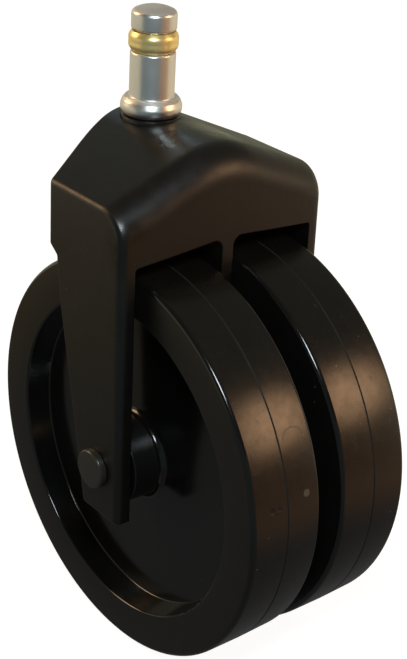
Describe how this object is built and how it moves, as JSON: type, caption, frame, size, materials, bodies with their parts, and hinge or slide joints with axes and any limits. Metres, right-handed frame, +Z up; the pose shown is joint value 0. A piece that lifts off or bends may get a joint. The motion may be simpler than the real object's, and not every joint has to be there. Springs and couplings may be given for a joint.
{
  "type": "chair caster wheel",
  "caption": "Twin-wheel swivel chair caster with a grip-ring stem, a moulded yoke and two recessed wheels on one axle.",
  "frame": {"origin": "centre of the stem's flat top end face", "axes": "+Z up along the swivel axis, out of the stem's end; +X from the swivel axis towards the axle; +Y along the axle, left wheel on -Y"},
  "size_m": [0.1016, 0.0644, 0.1542],
  "materials": {
    "zinc": "bright zinc plate, satin",
    "brass": "yellow plated spring steel, glossy",
    "spring_steel": "plain steel, oiled",
    "yoke_nylon": "black glass-filled nylon, fine satin grain",
    "wheel_plastic": "black moulded plastic, satin tread and glossy recess",
    "acetal": "dark acetal, smooth",
    "black_steel": "black oxide steel, satin"
  },
  "bodies": {
    "stem": {"stem": "zinc", "retaining_clip": "spring_steel"},
    "grip_ring": {"grip_ring": "brass"},
    "yoke": {"yoke": "yoke_nylon", "upper_swivel_bush": "acetal", "lower_swivel_bush": "acetal", "pivot_disc": "spring_steel", "axle": "black_steel", "axle_cap": "black_steel", "left_spacer_washer": "spring_steel", "right_spacer_washer": "spring_steel"},
    "left_wheel": {"left_wheel": "wheel_plastic", "left_outer_bush": "acetal", "left_inner_bush": "acetal"},
    "right_wheel": {"right_wheel": "wheel_plastic", "right_outer_bush": "acetal", "right_inner_bush": "acetal"}
  },
  "joints": [
    {"name": "grip_ring_turn", "type": "hinge", "parent": "stem", "child": "grip_ring", "pos_m": [0, 0, -0.008], "axis": [0, 0, 1], "continuous": true},
    {"name": "swivel", "type": "hinge", "parent": "stem", "child": "yoke", "pos_m": [0, 0, -0.036], "axis": [0, 0, 1], "continuous": true},
    {"name": "left_wheel_spin", "type": "hinge", "parent": "yoke", "child": "left_wheel", "pos_m": [0.0223, -0.0135, -0.1034], "axis": [0, 1, 0], "continuous": true},
    {"name": "right_wheel_spin", "type": "hinge", "parent": "yoke", "child": "right_wheel", "pos_m": [0.0223, 0.0135, -0.1034], "axis": [0, 1, 0], "continuous": true}
  ]
}
